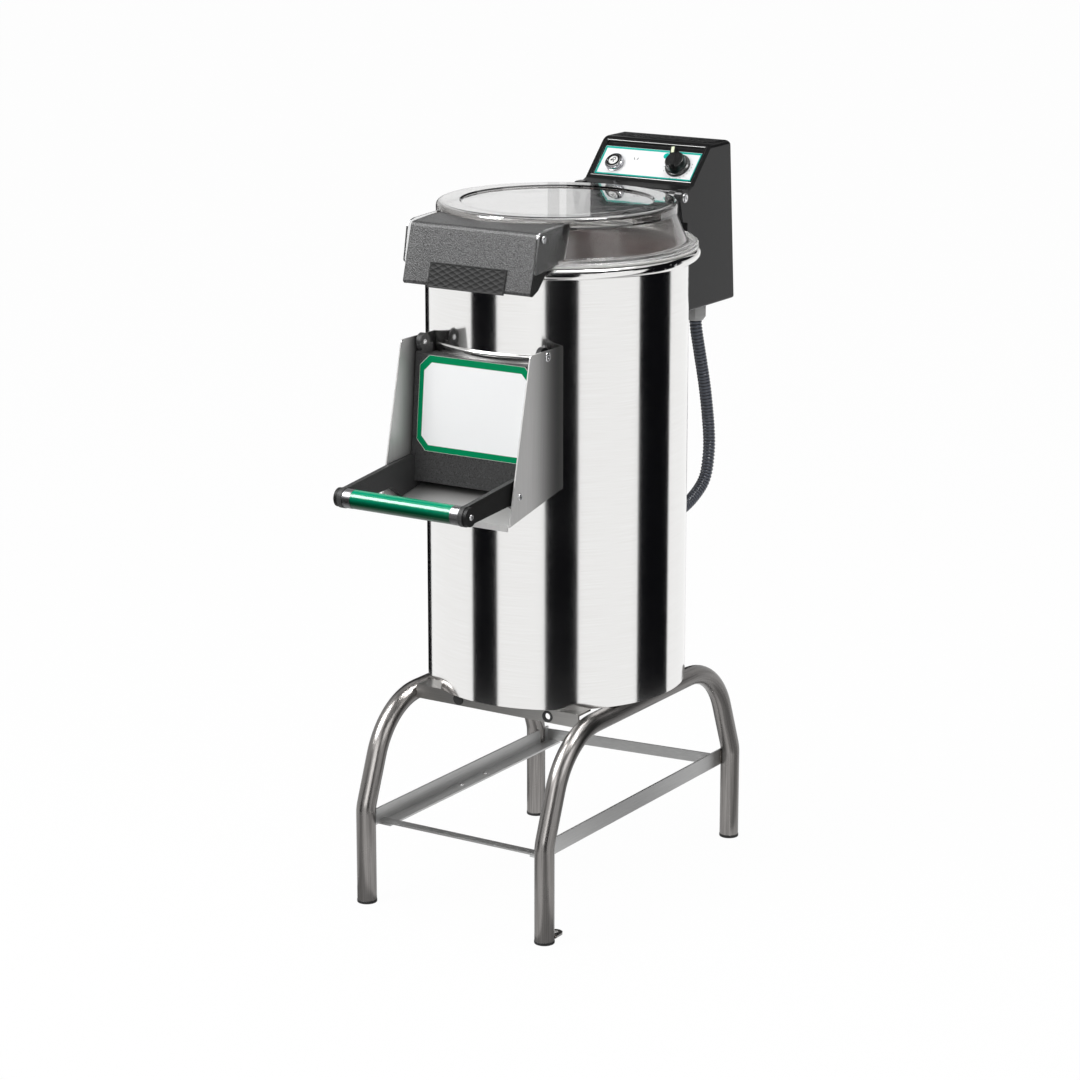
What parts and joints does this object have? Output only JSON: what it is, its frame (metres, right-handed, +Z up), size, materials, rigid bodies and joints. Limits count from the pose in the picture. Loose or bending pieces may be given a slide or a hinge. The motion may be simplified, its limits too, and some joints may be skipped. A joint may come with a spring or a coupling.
{
  "type": "electric potato peeler",
  "caption": "Upright electric potato peeler: a polished steel drum with a clear hinged lid, a hinged side door over a chute, a rear control box and a bent tube stand.",
  "frame": {"origin": "on the floor, under the middle of the overall width and length", "axes": "+X to the right seen from the door's side, +Y from the door towards the control box, +Z up"},
  "size_m": [0.4299, 0.7929, 1.11],
  "materials": {
    "tube_steel": "satin brushed tube",
    "sheet_steel": "satin stainless sheet",
    "rail_steel": "mid grey angle",
    "polished_steel": "polished stainless sheet",
    "bolt_steel": "bright steel",
    "cast_housing": "painted casting",
    "cast_pulley": "machined",
    "bright_metal": "bright",
    "dark_metal": "dark metallic",
    "brass_fitting": "machined",
    "abrasive": "coarse grit",
    "black_rubber": "matt",
    "pale_rubber": "matt",
    "dark_plastic": "fine texture",
    "black_plastic": "fine texture",
    "gloss_black": "gloss",
    "black_knob": "semi gloss",
    "white_label": "printed film",
    "white_button": "gloss",
    "pale_insert": "matt",
    "pale_plastic": "matt",
    "grey_plastic": "matt",
    "green_sleeve": "gloss",
    "slate_conduit": "corrugated",
    "clear_plastic": "clear polycarbonate"
  },
  "bodies": {
    "machine": {"stand_frame_left": "tube_steel", "stand_frame_right": "tube_steel", "foot_caps": "black_rubber", "anchor_tab": "tube_steel", "front_cross_plate": "sheet_steel", "rear_cross_plate": "sheet_steel", "tray_rail_left": "rail_steel", "tray_rail_right": "rail_steel", "front_tie_bar": "rail_steel", "rear_stop_bar": "rail_steel", "stand_bolts": "bolt_steel", "drum_shell": "polished_steel", "rim_gasket": "pale_rubber", "base_plate": "sheet_steel", "chamber_floor": "sheet_steel", "abrasive_liner": "abrasive", "bearing_housing": "cast_housing", "spindle_bearings": "bolt_steel", "shaft_seal": "black_rubber", "drive_belt": "black_rubber", "drive_plate": "sheet_steel", "motor_housing": "cast_housing", "drain_outlet": "sheet_steel", "water_inlet": "brass_fitting", "chute": "sheet_steel", "chute_screws": "bolt_steel", "hinge_pins": "bolt_steel", "control_housing": "black_plastic", "rear_cover": "black_plastic", "cover_screws": "bolt_steel", "fascia_bezel": "gloss_black", "fascia_label": "white_label", "button_collar": "bright_metal", "timer_body": "pale_plastic", "contactor": "dark_plastic", "cable_glands": "grey_plastic", "conduit": "slate_conduit", "box_bracket": "sheet_steel"},
    "lid": {"lid": "clear_plastic", "lid_handle_block": "dark_plastic", "grip_pad": "black_plastic", "lid_ear_screws": "bolt_steel", "lid_hinge_ears": "black_plastic"},
    "door": {"door_frame": "dark_plastic", "door_liner": "sheet_steel", "door_gasket": "black_rubber", "door_label": "white_label", "handle_bar": "dark_metal", "handle_sleeve": "green_sleeve", "handle_end_screws": "bolt_steel"},
    "timer": {"timer_knob": "black_knob", "knob_pointer": "pale_insert"},
    "button": {"start_button": "white_button"},
    "disc_rotor": {"abrasive_disc": "abrasive", "disc_spindle": "bolt_steel", "disc_nut": "bolt_steel", "large_pulley": "cast_pulley"},
    "motor_rotor": {"motor_pulley": "cast_pulley", "motor_shaft": "bolt_steel", "motor_fan": "black_plastic"}
  },
  "joints": [
    {"name": "lid_hinge", "type": "hinge", "parent": "machine", "child": "lid", "pos_m": [0, 0.2385, 1.036], "axis": [-1, 0, 0], "range_deg": [0, 80]},
    {"name": "door_swing", "type": "hinge", "parent": "machine", "child": "door", "pos_m": [0, -0.1795, 0.861], "axis": [-1, 0, 0], "range_deg": [0, 70]},
    {"name": "timer_turn", "type": "hinge", "parent": "machine", "child": "timer", "pos_m": [0.054, 0.28947, 1.07633], "axis": [0, 0.712, -0.7022], "range_deg": [0, 270]},
    {"name": "start_press", "type": "slide", "parent": "machine", "child": "button", "axis": [0, 0.712, -0.7022], "range_m": [0, 0.003], "stiffness_N_per_m": 300, "springref_m": -0.001},
    {"name": "disc_spin", "type": "hinge", "parent": "machine", "child": "disc_rotor", "pos_m": [0, 0.0255, 0.6], "axis": [0, 0, 1], "continuous": true},
    {"name": "motor_spin", "type": "hinge", "parent": "machine", "child": "motor_rotor", "pos_m": [0, 0.1435, 0.5], "axis": [0, 0, 1], "continuous": true}
  ],
  "couplings": [
    {"joint": "motor_spin", "follows": "disc_spin", "ratio": 2.5512}
  ]
}
